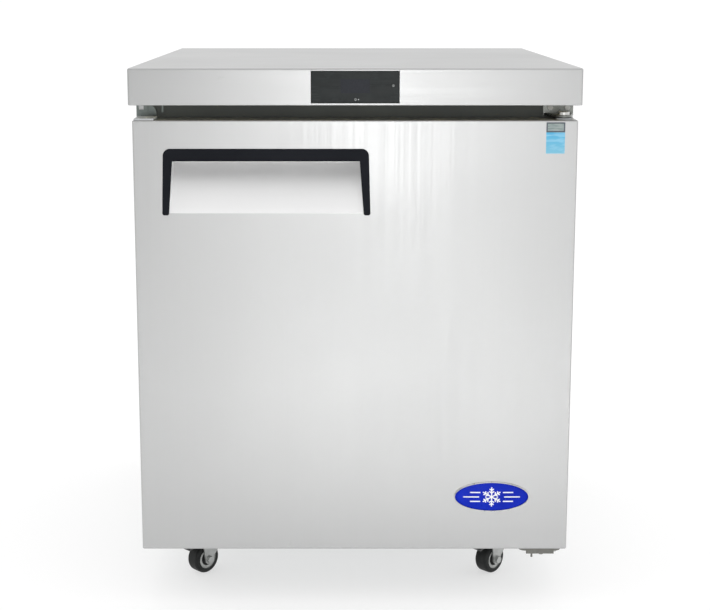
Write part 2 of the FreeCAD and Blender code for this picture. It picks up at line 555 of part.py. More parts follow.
# ---------------------------------------------------------------- bolts of hinges, casters and compressor


def hex_head(at, axis, across, high):
    """A hexagon bolt head, its seat at a point, standing out along an axis."""
    r = across / math.sqrt(3)
    ring = [V(r * math.cos(math.radians(60 * i)), r * math.sin(math.radians(60 * i)), 0) for i in range(6)]
    head = Part.Face(Part.makePolygon(ring + ring[:1])).extrude(V(0, 0, high))
    head.Placement = FreeCAD.Placement(V(*at), FreeCAD.Rotation(Z_AXIS, axis))
    return head


DOWN, FRONTWARD = V(0, 0, -1), V(0, -1, 0)
bolts = [hex_head((x, BODY_FRONT - 3, 802), FRONTWARD, 8, 3) for x in (309, 336)]
bolts += [hex_head((x, BODY_FRONT - 3, 100), FRONTWARD, 8, 2.2) for x in (277, 296)]
bolts += [hex_head((can_x + dx, can_y + dy, 108), Z_AXIS, 10, 5) for dx in (-64, 64) for dy in (-58, 58)]
pivots = {"fl": (-PIVOT_X, PIVOT_FRONT_Y), "fr": (PIVOT_X, PIVOT_FRONT_Y),
          "rl": (-PIVOT_X, PIVOT_REAR_Y), "rr": (PIVOT_X, PIVOT_REAR_Y)}
PLATE_BOTTOM = CASTER_TOP - 3.0
for px, py in pivots.values():
    bolts += [hex_head((px + dx, py + dy, PLATE_BOTTOM), DOWN, 10, 4) for dx in (-30, 30) for dy in (-22, 22)]
keep("mounting_bolts", *bolts)

# ---------------------------------------------------------------- casters
CROWN_R = 18.3
CROWN_TOP = 66.9
CROWN_LOW = 58.3
RACE_LOW = CROWN_TOP + 0.4
plates = []
for px, py in pivots.values():
    plate = rounded(block((px - 38, px + 38), (py - 30, py + 30), (PLATE_BOTTOM, CASTER_TOP)), 6,
                    lambda e: runs_along(e, Z_AXIS))
    race = rod(CROWN_R - 1.3, (px, py, RACE_LOW), Z_AXIS, PLATE_BOTTOM - RACE_LOW)
    race = rounded(race, 3, lambda e: middle(e).z < RACE_LOW + 0.1)
    king = joined(rod(PIN_R, (px, py, CROWN_LOW - 5), Z_AXIS, 15), rod(9, (px, py, CROWN_LOW - 4.5), Z_AXIS, 4))
    plates.append(joined(plate, race, king))
keep("caster_plates", *plates)

LEG_T = 2.5
LEG_IN = WHEEL_W / 2 + 1.5
LEG_END_R = 8.2
AXLE_R = 4.0
BRAKE_PIN = (TRAIL + 7, 56.5)    # along the trail and up
BRAKE_PIN_R = 2.0


def fork():
    """Swivel fork about the origin, trailing along +X: crown, two legs, axle bolt and brake ears."""
    crown = rounded(rod(CROWN_R, (0, 0, CROWN_LOW), Z_AXIS, CROWN_TOP - CROWN_LOW), 3,
                    lambda e: middle(e).z > CROWN_TOP - 0.1)
    crown = crown.cut(rod(PIN_R + RUNNING, (0, 0, 50), Z_AXIS, 30))
    legs = []
    for side in (-1, 1):
        y0 = side * LEG_IN if side > 0 else side * (LEG_IN + LEG_T)
        outline = [(-15, y0, CROWN_TOP - 5), (-15, y0, CROWN_TOP - 12), (TRAIL - LEG_END_R, y0, WHEEL_R + 1),
                   (TRAIL + LEG_END_R, y0, WHEEL_R + 1), (TRAIL + 11, y0, 46), (TRAIL + 12, y0, CROWN_TOP - 5)]
        legs.append(prism(outline, V(0, LEG_T, 0)))
        legs.append(rod(LEG_END_R, (TRAIL, y0, WHEEL_R), Y_AXIS, LEG_T))
    span = 2 * (LEG_IN + LEG_T)
    roof = block((-15, TRAIL - 3), (-span / 2, span / 2), (CROWN_TOP - 7.5, CROWN_TOP - 5))
    roof = roof.cut(rod(10, (0, 0, 50), Z_AXIS, 30))
    body = joined(crown, roof, *legs)
    axle = joined(rod(AXLE_R, (TRAIL, -span / 2 - 3, WHEEL_R), Y_AXIS, span + 6),
                  hex_head((TRAIL, -span / 2, WHEEL_R), FRONTWARD, 11, 4.5),
                  hex_head((TRAIL, span / 2, WHEEL_R), Y_AXIS, 11, 5))
    body = body.cut(rod(AXLE_R, (TRAIL, -40, WHEEL_R), Y_AXIS, 80))
    return body, axle


def braked_fork():
    """The front forks also carry the cross pin of the brake pedal."""
    body, axle = fork()
    pin = rod(BRAKE_PIN_R, (BRAKE_PIN[0], -LEG_IN - LEG_T, BRAKE_PIN[1]), Y_AXIS, 2 * (LEG_IN + LEG_T))
    return joined(body, pin), axle


def wheel():
    """Hub with a running bore, and the tread round it, about the fork's axle."""
    w = WHEEL_W / 2
    hub_r = 17.0
    hub = rod(hub_r, (0, -w + 1.5, 0), Y_AXIS, WHEEL_W - 3)
    rim_groove = [tube(12, 8.5, (0, s * (w - 1.5) - (4 if s > 0 else 0), 0), Y_AXIS, 4) for s in (-1, 1)]
    boss = [rod(7.5, (0, -w - 1.0, 0), Y_AXIS, WHEEL_W + 2)]
    hub = cut_all(hub, rim_groove)
    hub = joined(hub, *boss).cut(rod(AXLE_R + RUNNING, (0, -w - 5, 0), Y_AXIS, WHEEL_W + 10))
    tread = rounded(rod(WHEEL_R, (0, -w, 0), Y_AXIS, WHEEL_W), 5, lambda e: e.Length > 6 * WHEEL_R - 1)
    tread = tread.cut(rod(hub_r, (0, -w - 1, 0), Y_AXIS, WHEEL_W + 2))
    for solid in (hub, tread):
        solid.translate(V(TRAIL, 0, WHEEL_R))
    return hub, tread


PEDAL_HALF = LEG_IN - 0.6


def pedal():
    """Brake pedal: a lever on the cross pin, with a shoe over the tread and a foot pad outside."""
    px, pz = BRAKE_PIN
    lever = prism([(px - 6, -PEDAL_HALF, pz + 4.5), (px - 6, -PEDAL_HALF, pz - 4), (px + 8, -PEDAL_HALF, pz - 7),
                   (px + 12, -PEDAL_HALF, pz - 1), (px + 33, -PEDAL_HALF, pz - 7),
                   (px + 34, -PEDAL_HALF, pz - 4), (px + 10, -PEDAL_HALF, pz + 4.5)],
                  V(0, 2 * PEDAL_HALF, 0))
    lever = rounded(lever, 1.0, lambda e: runs_along(e, Y_AXIS) and middle(e).x > px + 30)
    return lever.cut(rod(BRAKE_PIN_R + RUNNING, (px, -40, pz), Y_AXIS, 80))


fork_shapes = {"f": braked_fork(), "r": fork()}
wheel_shapes = wheel()
for tag, pivot in pivots.items():
    keep("caster_fork_" + tag, *[turned(s, TRAIL_ANGLE, pivot) for s in fork_shapes[tag[0]]])
    keep("caster_wheel_" + tag, *[turned(s, TRAIL_ANGLE, pivot) for s in wheel_shapes])
    if tag[0] == "f":
        keep("brake_pedal_" + tag, turned(pedal(), TRAIL_ANGLE, pivot))

# ---------------------------------------------------------------- door
door_x = (-DOOR_HALF_WIDTH, DOOR_HALF_WIDTH)
door_z = (DOOR_BOTTOM, DOOR_TOP)
TRIM_X = (-297.2, 21.2)
TRIM_TOP = 743.0
TRIM_LOW = 639.0
TRIM_BAR = 19.5
LEG_TOP_W = 15.5
LEG_LOW_W = 10.5
FLARE = 2.9
SCOOP_LOW = 643.4
BAR_LOW = TRIM_TOP - TRIM_BAR
POCKET_BACK = -338.0
POCKET_TOP = 736.0


def tapered_slab(inset_top, inset_low, z, y):
    """A slab between the handle's legs: its sides lean out towards the bottom."""
    x0t, x1t = TRIM_X[0] + inset_top, TRIM_X[1] - inset_top
    x0l, x1l = TRIM_X[0] - FLARE + inset_low, TRIM_X[1] + FLARE - inset_low
    run = (TRIM_TOP - TRIM_LOW)

    def at(z_level, low, high):
        return low + (high - low) * (TRIM_TOP - z_level) / run

    outline = [(at(z[0], x0t, x0l), y[0], z[0]), (at(z[0], x1t, x1l), y[0], z[0]),
               (at(z[1], x1t, x1l), y[0], z[1]), (at(z[1], x0t, x0l), y[0], z[1])]
    return prism(outline, V(0, y[1] - y[0], 0))


def pocket(grow):
    """Finger pocket: a scoop that slopes back from flush at the bottom to full depth under the top bar."""
    x = (TRIM_X[0] - 10, TRIM_X[1] + 10)
    low = SCOOP_LOW - grow
    back = POCKET_BACK + grow
    high = POCKET_TOP + grow
    floor = Part.Arc(V(x[0], DOOR_FRONT, low), V(x[0], -367.5 + grow * 0.7, 676.0 - grow * 0.7),
                     V(x[0], back, BAR_LOW - 6)).toShape()
    corners = [V(x[0], back, BAR_LOW - 6), V(x[0], back, high), V(x[0], DOOR_FRONT - 1, high),
               V(x[0], DOOR_FRONT - 1, low), V(x[0], DOOR_FRONT, low)]
    profile = Part.Face(Part.Wire([floor] + Part.makePolygon(corners).Edges))
    ridge = profile.extrude(V(x[1] - x[0], 0, 0))
    return ridge.common(tapered_slab(LEG_TOP_W - grow, LEG_LOW_W - grow, (low - 2, high + 2),
                                     (DOOR_FRONT - 2, back + 2)))


recess_outer = pocket(DOOR_SHEET)
recess_inner = pocket(0)
above_front = block((-360, 360), (DOOR_FRONT - 5, DOOR_FRONT), (600, 780))
scoop = cut_all(recess_outer, [recess_inner, above_front])
keep("handle_scoop", scoop)

BUSH_R = 8.0
BUSH_H = 20.0
closer_bore = rod(11.0, (HINGE_X, HINGE_Y, DOOR_BOTTOM + BUSH_H), Z_AXIS, 92)
STEM_R = 6.0
STEM_H = 15.0
stem_bores = [rod(STEM_R + RUNNING, (-HINGE_X, HINGE_Y, z), Z_AXIS, STEM_H + 1.1)
              for z in (DOOR_BOTTOM - 1, DOOR_TOP - STEM_H - 0.1)]
bush_bores = [rod(BUSH_R + RUNNING, (HINGE_X, HINGE_Y, DOOR_BOTTOM - 1), Z_AXIS, BUSH_H + 1),
              rod(BUSH_R + RUNNING, (HINGE_X, HINGE_Y, DOOR_TOP - BUSH_H), Z_AXIS, BUSH_H + 1)]

RETURN = 8.0
skin = block(door_x, (DOOR_FRONT, DOOR_BACK), door_z)
skin = rounded(skin, 2.5, lambda e: middle(e).y < DOOR_BACK - 1)
hollow = block((door_x[0] + DOOR_SHEET, door_x[1] - DOOR_SHEET), (DOOR_FRONT + DOOR_SHEET, DOOR_BACK - DOOR_SHEET),
               (door_z[0] + DOOR_SHEET, door_z[1] - DOOR_SHEET))
back_opening = block((door_x[0] + RETURN, door_x[1] - RETURN), (-330, DOOR_BACK + 1),
                     (door_z[0] + RETURN, door_z[1] - RETURN))
skin = cut_all(skin, [hollow, back_opening, recess_outer, *bush_bores, *stem_bores])
keep("door_skin", skin)

PLUG = ((-280.0, 280.0), (DOOR_BACK, -314.0), (156.0, 748.0))
liner_plate = block((door_x[0] + RETURN, door_x[1] - RETURN), (DOOR_BACK - 2, DOOR_BACK),
                    (door_z[0] + RETURN, door_z[1] - RETURN))
plug = block(*PLUG)
plug = rounded(plug, 5, lambda e: middle(e).y > PLUG[1][1] - 0.1)
plug_hollow = block((PLUG[0][0] + 6, PLUG[0][1] - 6), (DOOR_BACK - 3, PLUG[1][1] - 2),
                    (PLUG[2][0] + 6, PLUG[2][1] - 6))
keep("door_liner", joined(liner_plate, plug).cut(plug_hollow))

filling = block((door_x[0] + DOOR_SHEET, door_x[1] - DOOR_SHEET), (DOOR_FRONT + DOOR_SHEET, DOOR_BACK - 2),
                (door_z[0] + DOOR_SHEET, door_z[1] - DOOR_SHEET))
filling = cut_all(filling, [recess_outer, closer_bore, *bush_bores, *stem_bores])
keep("door_foam", filling)

# magnetic gasket: a bellows section ring, held in the liner's edge
GASKET_X, GASKET_Z = (-320.0, 320.0), (116.0, 778.0)
seal = ring_xz(GASKET_X, GASKET_Z, 20, (DOOR_BACK, DOOR_BACK + 4))
nose = ring_xz((GASKET_X[0] + 3, GASKET_X[1] - 3), (GASKET_Z[0] + 3, GASKET_Z[1] - 3), 13,
               (DOOR_BACK + 4, GASKET_FRONT))
gasket = rounded(joined(seal, nose), 1.2, lambda e: abs(middle(e).y - GASKET_FRONT) < 0.01)
keep("door_gasket", gasket)

# black handle trim: a top bar and two legs with rounded ends, and the grip behind the bar
TRIM_PROUD = 2.2
trim = tapered_slab(0, 0, (TRIM_LOW, TRIM_TOP), (DOOR_FRONT - TRIM_PROUD, DOOR_FRONT))
opening = tapered_slab(LEG_TOP_W, LEG_LOW_W, (TRIM_LOW - 5, BAR_LOW), (DOOR_FRONT - 5, DOOR_FRONT + 1))
trim = rounded(trim.cut(opening), 11.0, lambda e: runs_along(e, Y_AXIS) and middle(e).z > TRIM_TOP - 1)
trim = rounded(trim, 3.5, lambda e: runs_along(e, Y_AXIS) and middle(e).z < TRIM_LOW + 1)
trim = rounded(trim, 1.4, lambda e: abs(middle(e).y - DOOR_FRONT + TRIM_PROUD) < 0.05)
GRIP_DEEP = 7.0
grip_x = (TRIM_X[0] + LEG_TOP_W + 0.3, TRIM_X[1] - LEG_TOP_W - 0.3)
grip = block(grip_x, (DOOR_FRONT, DOOR_FRONT + GRIP_DEEP), (BAR_LOW, POCKET_TOP - 0.3))
grip = rounded(grip, 2, lambda e: runs_along(e, X_AXIS) and middle(e).z < BAR_LOW + 0.1
               and middle(e).y > DOOR_FRONT + GRIP_DEEP - 1)
keep("handle_trim", joined(trim, grip))


def oval(half_x, half_z, at, y, depth):
    """An elliptical disc facing -Y."""
    ring = Part.Ellipse(V(at[0] + half_x, y, at[1]), V(at[0], y, at[1] + half_z), V(at[0], y, at[1]))
    return Part.Face(Part.Wire(ring.toShape())).extrude(V(0, -depth, 0))


BADGE = (221.0, 180.0)
plate = oval(61.0, 25.3, BADGE, DOOR_FRONT, 1.2)
dome = oval(59.0, 23.3, BADGE, DOOR_FRONT - 1.2, 1.0)
dome = rounded(dome, 0.7, lambda e: middle(e).y < DOOR_FRONT - 2.1)
keep("badge", joined(plate, dome))
keep("rating_label", block((294.8, 323.8), (DOOR_FRONT - 0.3, DOOR_FRONT), (735.6, 784.0)))

bushes = []
for z, flange_z in ((DOOR_BOTTOM, DOOR_BOTTOM - 1.5), (DOOR_TOP - BUSH_H, DOOR_TOP)):
    bushes.append(joined(rod(BUSH_R, (HINGE_X, HINGE_Y, z), Z_AXIS, BUSH_H),
                         rod(12, (HINGE_X, HINGE_Y, flange_z), Z_AXIS, 1.5))
                  .cut(rod(PIN_R + RUNNING, (HINGE_X, HINGE_Y, z - 10), Z_AXIS, BUSH_H + 20)))
# caps plug the spare hinge holes on the left
cap_high = joined(rounded(block((-342, -311), (-374.5, -326), (DOOR_TOP, DOOR_TOP + 2.2)), 0.8,
                          lambda e: middle(e).z > DOOR_TOP + 0.1),
                  rod(STEM_R, (-HINGE_X, HINGE_Y, DOOR_TOP - STEM_H), Z_AXIS, STEM_H))
cap_low = joined(rod(10, (-HINGE_X, HINGE_Y, DOOR_BOTTOM - 1.2), Z_AXIS, 1.2),
                 rod(STEM_R, (-HINGE_X, HINGE_Y, DOOR_BOTTOM), Z_AXIS, STEM_H))
keep("hinge_bushes", *bushes, cap_high, cap_low)

# closing spring cartridge above the lower bush: a tube with a cap at each end
closer = rod(11, (HINGE_X, HINGE_Y, DOOR_BOTTOM + BUSH_H), Z_AXIS, 92)
closer = closer.cut(rod(8.5, (HINGE_X, HINGE_Y, DOOR_BOTTOM + BUSH_H + 3), Z_AXIS, 86))
closer = closer.cut(rod(PIN_R + 0.5, (HINGE_X, HINGE_Y, DOOR_BOTTOM + BUSH_H - 1), Z_AXIS, 5))
keep("door_closer", closer)

# ---------------------------------------------------------------- write one STEP per node
os.makedirs("parts", exist_ok=True)
for name, shape in parts.items():
    if not shape.isValid():
        print("invalid shape:", name)
    shape.exportStep("parts/" + name + ".step")
print(len(parts), "nodes")
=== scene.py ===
import json
import math

import bmesh
import bpy
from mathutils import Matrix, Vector


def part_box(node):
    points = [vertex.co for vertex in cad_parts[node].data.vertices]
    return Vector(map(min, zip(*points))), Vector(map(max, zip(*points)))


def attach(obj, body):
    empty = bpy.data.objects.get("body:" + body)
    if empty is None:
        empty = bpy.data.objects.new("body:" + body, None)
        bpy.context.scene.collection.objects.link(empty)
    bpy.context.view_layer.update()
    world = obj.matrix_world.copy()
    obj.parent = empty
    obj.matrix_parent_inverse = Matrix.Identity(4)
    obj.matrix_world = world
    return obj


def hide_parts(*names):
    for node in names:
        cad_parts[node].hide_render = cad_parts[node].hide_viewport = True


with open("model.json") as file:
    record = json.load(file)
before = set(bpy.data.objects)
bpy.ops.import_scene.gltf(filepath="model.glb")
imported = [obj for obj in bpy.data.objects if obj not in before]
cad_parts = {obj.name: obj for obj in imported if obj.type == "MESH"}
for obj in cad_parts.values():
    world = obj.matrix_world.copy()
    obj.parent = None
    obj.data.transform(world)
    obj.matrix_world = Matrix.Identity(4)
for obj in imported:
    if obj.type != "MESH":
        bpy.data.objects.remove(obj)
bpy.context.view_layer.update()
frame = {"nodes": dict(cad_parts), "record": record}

nodes = frame["nodes"]
MM = 0.001


# ---------------------------------------------------------------- shader building
class Shader:
    """A principled material with helpers that add nodes and wire them."""

    def __init__(self, name, colour, rough, metal=0.0, **settings):
        self.mat = bpy.data.materials.new(name)
        self.mat.use_nodes = True
        self.tree = self.mat.node_tree
        self.main = self.tree.nodes["Principled BSDF"]
        self.main.inputs["Base Color"].default_value = (*colour, 1)
        self.main.inputs["Roughness"].default_value = rough
        self.main.inputs["Metallic"].default_value = metal
        for socket, value in settings.items():
            self.main.inputs[socket.replace("_", " ")].default_value = value
        self.coords = self.add("ShaderNodeTexCoord").outputs["Object"]

    def add(self, kind, **props):
        node = self.tree.nodes.new(kind)
        for name, value in props.items():
            setattr(node, name, value)
        return node

    def put(self, socket, value):
        """Link an output, or set a plain value."""
        if isinstance(value, bpy.types.NodeSocket):
            self.tree.links.new(value, socket)
        else:
            socket.default_value = value

    def scaled(self, scale):
        """Object coordinates, scaled."""
        node = self.add("ShaderNodeMapping")
        self.put(node.inputs["Vector"], self.coords)
        node.inputs["Scale"].default_value = scale
        return node.outputs["Vector"]

    def noise(self, scale, stretch=(1, 1, 1), detail=2.0, rough=0.5, distortion=0.0):
        node = self.add("ShaderNodeTexNoise")
        self.put(node.inputs["Vector"], self.scaled(stretch))
        node.inputs["Scale"].default_value = scale
        node.inputs["Detail"].default_value = detail
        node.inputs["Roughness"].default_value = rough
        node.inputs["Distortion"].default_value = distortion
        return node.outputs["Fac"]

    def cells(self, scale, output="Color"):
        node = self.add("ShaderNodeTexVoronoi", feature="F1")
        self.put(node.inputs["Vector"], self.coords)
        node.inputs["Scale"].default_value = scale
        return node.outputs[output]

    def remap(self, value, low, high, to_low, to_high):
        node = self.add("ShaderNodeMapRange")
        self.put(node.inputs["Value"], value)
        for key, number in (("From Min", low), ("From Max", high), ("To Min", to_low), ("To Max", to_high)):
            node.inputs[key].default_value = number
        return node.outputs["Result"]

    def math(self, operation, a, b=0.0, clamp=False):
        node = self.add("ShaderNodeMath", operation=operation, use_clamp=clamp)
        self.put(node.inputs[0], a)
        self.put(node.inputs[1], b)
        return node.outputs[0]

    def blend(self, fac, a, b):
        """Colour a where fac is 0 and b where it is 1."""
        node = self.add("ShaderNodeMix", data_type="RGBA")
        self.put(node.inputs[0], fac)
        self.put(node.inputs[6], a if not isinstance(a, tuple) else (*a, 1))
        self.put(node.inputs[7], b if not isinstance(b, tuple) else (*b, 1))
        return node.outputs[2]

    def colour(self, value):
        self.put(self.main.inputs["Base Color"], value)

    def rough(self, value):
        self.put(self.main.inputs["Roughness"], value)

    def bump(self, height, distance, strength=1.0):
        """Surface relief; a second call adds to the first."""
        node = self.add("ShaderNodeBump")
        self.put(node.inputs["Height"], height)
        node.inputs["Strength"].default_value = strength
        node.inputs["Distance"].default_value = distance
        before = self.main.inputs["Normal"]
        if before.is_linked:
            self.put(node.inputs["Normal"], before.links[0].from_socket)
        self.put(before, node.outputs["Normal"])

    def axis(self, index):
        """One object coordinate, in metres."""
        node = self.add("ShaderNodeSeparateXYZ")
        self.put(node.inputs[0], self.coords)
        return node.outputs[index]

def shade(v):
    """A neutral colour with equal parts."""
    return (v, v, v)


# ---------------------------------------------------------------- materials
STEEL = (0.485, 0.488, 0.487)


def brushed_steel(name, grain, base=STEEL, rough=0.34, streak=0.012):
    """Brushed stainless sheet; grain is the brushing direction as an axis index."""
    s = Shader(name, base, rough, metal=1.0)
    stretch = [520.0, 520.0, 520.0]
    stretch[grain] = 3.0
    fine = s.noise(1.0, tuple(stretch), detail=3.0, rough=0.62)
    wide = [70.0, 70.0, 70.0]
    wide[grain] = 1.2
    broad = s.noise(1.0, tuple(wide), detail=2.0)
    smear = s.noise(3.2, detail=3.0, rough=0.55, distortion=0.4)
    dark = tuple(c * (1 - streak) for c in base)
    light = tuple(min(1.0, c * (1 + streak)) for c in base)
    grainy = s.blend(s.remap(fine, 0.3, 0.7, 0.0, 1.0), dark, light)
    s.colour(s.blend(s.remap(broad, 0.35, 0.65, 0.0, 0.35), grainy, light))
    s.rough(s.math("ADD", s.remap(fine, 0.3, 0.7, -0.05, 0.05),
                   s.remap(smear, 0.3, 0.7, rough - 0.03, rough + 0.04)))
    s.bump(fine, 0.000012, 0.35)
    return s.mat


def galvanised(name, base=(0.50, 0.53, 0.53), scale=150.0):
    """Zinc-dipped sheet with crystal spangle and a dull grey bloom."""
    s = Shader(name, base, 0.42, metal=1.0)
    spangle = s.cells(scale)
    grey = s.add("ShaderNodeSeparateColor")
    s.put(grey.inputs[0], spangle)
    tone = grey.outputs[0]
    bloom = s.noise(14.0, detail=4.0, rough=0.6)
    dull = tuple(c * 0.84 for c in base)
    bright = tuple(min(1.0, c * 1.10) for c in base)
    s.colour(s.blend(s.math("MULTIPLY", tone, s.remap(bloom, 0.3, 0.7, 0.5, 1.0)), dull, bright))
    s.rough(s.math("ADD", s.remap(tone, 0, 1, 0.28, 0.50), s.remap(bloom, 0.3, 0.7, -0.04, 0.06)))
    s.bump(tone, 0.00005, 0.25)
    return s.mat


def moulded(name, base, rough, grain=900.0, spread=0.12, specular=0.35):
    """Injection-moulded plastic with a fine spark texture and slight tone drift."""
    s = Shader(name, base, rough, Specular_IOR_Level=specular)
    fine = s.noise(grain, detail=2.0, rough=0.6)
    drift = s.noise(9.0, detail=3.0)
    dark = tuple(c * (1 - spread) for c in base)
    light = tuple(min(1.0, c * (1 + spread) + 0.004) for c in base)
    s.colour(s.blend(s.remap(drift, 0.3, 0.7, 0, 1), dark, light))
    s.rough(s.math("ADD", s.remap(fine, 0.3, 0.7, rough - 0.05, rough + 0.05),
                   s.remap(drift, 0.3, 0.7, -0.03, 0.04)))
    s.bump(fine, 0.00006, 0.4)
    return s.mat


def painted(name, base, rough):
    """Powder coat with orange peel and dust specks."""
    s = Shader(name, base, rough, Coat_Weight=0.15)
    peel = s.noise(220.0, detail=2.0)
    dust = s.noise(38.0, detail=5.0, rough=0.7)
    dark = tuple(c * 0.82 for c in base)
    light = tuple(min(1.0, c * 1.14 + 0.01) for c in base)
    s.colour(s.blend(s.remap(dust, 0.35, 0.65, 0, 1), dark, light))
    s.rough(s.remap(dust, 0.3, 0.7, rough - 0.06, rough + 0.09))
    s.bump(peel, 0.00008, 0.3)
    return s.mat


def plated(name, base, rough):
    """Bright zinc or chrome plate with fine draw marks and small clouded patches."""
    s = Shader(name, base, rough, metal=1.0)
    marks = s.noise(1.0, (900, 900, 30), detail=2.0)
    cloud = s.noise(60.0, detail=4.0, rough=0.65)
    dark = tuple(c * 0.70 for c in base)
    s.colour(s.blend(s.remap(cloud, 0.3, 0.7, 0.0, 1.0), dark, base))
    s.rough(s.math("ADD", s.remap(cloud, 0.3, 0.7, rough, rough + 0.16), s.remap(marks, 0.3, 0.7, -0.03, 0.03)))
    s.bump(marks, 0.00004, 0.3)
    return s.mat


def rubber(name, base, rough=0.62):
    """Rubber with talc bloom and a fine moulded grain."""
    s = Shader(name, base, rough, Sheen_Weight=0.12)
    bloom = s.noise(26.0, detail=5.0, rough=0.7)
    fine = s.noise(1200.0, detail=2.0)
    s.colour(s.blend(s.remap(bloom, 0.35, 0.7, 0, 1), base, tuple(c * 1.9 + 0.012 for c in base)))
    s.rough(s.remap(bloom, 0.3, 0.7, rough - 0.06, rough + 0.1))
    s.bump(fine, 0.00005, 0.35)
    return s.mat


def gloss_black(name, base, rough):
    """Glossy black plastic with dust haze and faint wipe marks."""
    s = Shader(name, base, rough, Specular_IOR_Level=0.14)
    wipe = s.noise(1.0, (18, 18, 240), detail=3.0)
    haze = s.noise(55.0, detail=4.0)
    s.colour(s.blend(s.remap(haze, 0.35, 0.7, 0, 1), base, tuple(c * 1.5 + 0.003 for c in base)))
    s.rough(s.math("ADD", s.remap(wipe, 0.3, 0.7, rough - 0.03, rough + 0.04),
                   s.remap(haze, 0.3, 0.7, -0.01, 0.03)))
    s.bump(haze, 0.00002, 0.2)
    return s.mat


def enamel(name, base):
    """Vitreous blue enamel under a clear coat, slightly mottled."""
    s = Shader(name, base, 0.30, Coat_Weight=0.06, Coat_Roughness=0.08, Specular_IOR_Level=0.10)
    mottle = s.noise(420.0, detail=3.0)
    drift = s.noise(22.0, detail=2.0)
    deep = tuple(c * 0.80 for c in base)
    s.colour(s.blend(s.remap(drift, 0.3, 0.7, 0, 1), deep, base))
    s.rough(s.remap(mottle, 0.3, 0.7, 0.26, 0.36))
    s.bump(mottle, 0.00003, 0.15)
    return s.mat


def copper(name):
    """Drawn copper tube, part tarnished."""
    s = Shader(name, (0.72, 0.36, 0.22), 0.3, metal=1.0)
    tarnish = s.noise(30.0, detail=5.0, rough=0.7)
    s.colour(s.blend(s.remap(tarnish, 0.4, 0.7, 0, 1), (0.75, 0.38, 0.24), (0.30, 0.15, 0.10)))
    s.rough(s.remap(tarnish, 0.3, 0.7, 0.22, 0.55))
    s.bump(tarnish, 0.00005, 0.2)
    return s.mat


def circuit_board(name):
    """Green solder mask with blocky copper tracks showing through."""
    s = Shader(name, (0.02, 0.15, 0.07), 0.35)
    tracks = s.cells(240.0, output="Distance")
    mask = s.remap(tracks, 0.30, 0.34, 0, 1)
    s.colour(s.blend(mask, (0.05, 0.30, 0.14), (0.015, 0.12, 0.06)))
    s.rough(s.remap(tracks, 0, 1, 0.28, 0.45))
    s.bump(mask, 0.00004, 0.4)
    return s.mat


def foam(name):
    """Expanded urethane foam: open cells and uneven yellowing."""
    s = Shader(name, (0.80, 0.72, 0.48), 0.9)
    pores = s.cells(700.0, output="Distance")
    yellow = s.noise(11.0, detail=4.0)
    s.colour(s.blend(s.remap(yellow, 0.3, 0.7, 0, 1), (0.84, 0.78, 0.56), (0.70, 0.58, 0.32)))
    s.rough(s.remap(pores, 0, 1, 0.8, 1.0))
    s.bump(pores, 0.0003, 0.6)
    return s.mat


def fin_stack(name, pitch):
    """Aluminium fin stock: bright, with dust between the fins."""
    s = Shader(name, (0.70, 0.71, 0.72), 0.34, metal=1.0)
    dust = s.noise(45.0, detail=5.0, rough=0.7)
    s.colour(s.blend(s.remap(dust, 0.45, 0.75, 0, 1), (0.74, 0.75, 0.76), (0.34, 0.32, 0.29)))
    s.rough(s.remap(dust, 0.3, 0.7, 0.28, 0.6))
    ripple = s.add("ShaderNodeTexWave", wave_type="BANDS", bands_direction="Z")
    s.put(ripple.inputs["Vector"], s.coords)
    ripple.inputs["Scale"].default_value = pitch
    s.bump(ripple.outputs["Fac"], 0.0002, 0.3)
    return s.mat


RING_OUT = 17.0 * MM
RING_IN = 12.0 * MM
AXLE_TURN = math.radians(-45)
SOFT = 0.25 * MM


def wheel_look(tag):
    """Black tread, pale rim ring and dark hub face, told apart by distance from the axle."""
    low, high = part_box("caster_wheel_" + tag)
    centre = (low + high) / 2
    s = Shader("wheel_" + tag, (0.03, 0.03, 0.03), 0.55, Specular_IOR_Level=0.2)
    shift = s.add("ShaderNodeVectorMath", operation="SUBTRACT")
    s.put(shift.inputs[0], s.coords)
    shift.inputs[1].default_value = centre
    cross = s.add("ShaderNodeVectorMath", operation="CROSS_PRODUCT")
    s.put(cross.inputs[0], shift.outputs["Vector"])
    cross.inputs[1].default_value = (math.cos(AXLE_TURN), math.sin(AXLE_TURN), 0)
    length = s.add("ShaderNodeVectorMath", operation="LENGTH")
    s.put(length.inputs[0], cross.outputs["Vector"])
    away = length.outputs["Value"]
    bloom = s.noise(60.0, detail=5.0, rough=0.7)
    fine = s.noise(1400.0, detail=2.0)
    tread = s.blend(s.remap(bloom, 0.35, 0.7, 0, 1), (0.009, 0.010, 0.010), (0.026, 0.028, 0.027))
    ring = s.blend(s.remap(bloom, 0.35, 0.7, 0, 1), (0.46, 0.47, 0.46), (0.34, 0.35, 0.34))
    hub = s.blend(s.remap(bloom, 0.35, 0.7, 0, 1), (0.025, 0.027, 0.027), (0.06, 0.06, 0.06))
    outside = s.remap(away, RING_OUT - SOFT, RING_OUT + SOFT, 0, 1)
    inside = s.remap(away, RING_IN - SOFT, RING_IN + SOFT, 0, 1)
    s.colour(s.blend(outside, s.blend(inside, hub, ring), tread))
    s.rough(s.remap(bloom, 0.3, 0.7, 0.42, 0.66))
    s.bump(fine, 0.00006, 0.35)
    return s.mat


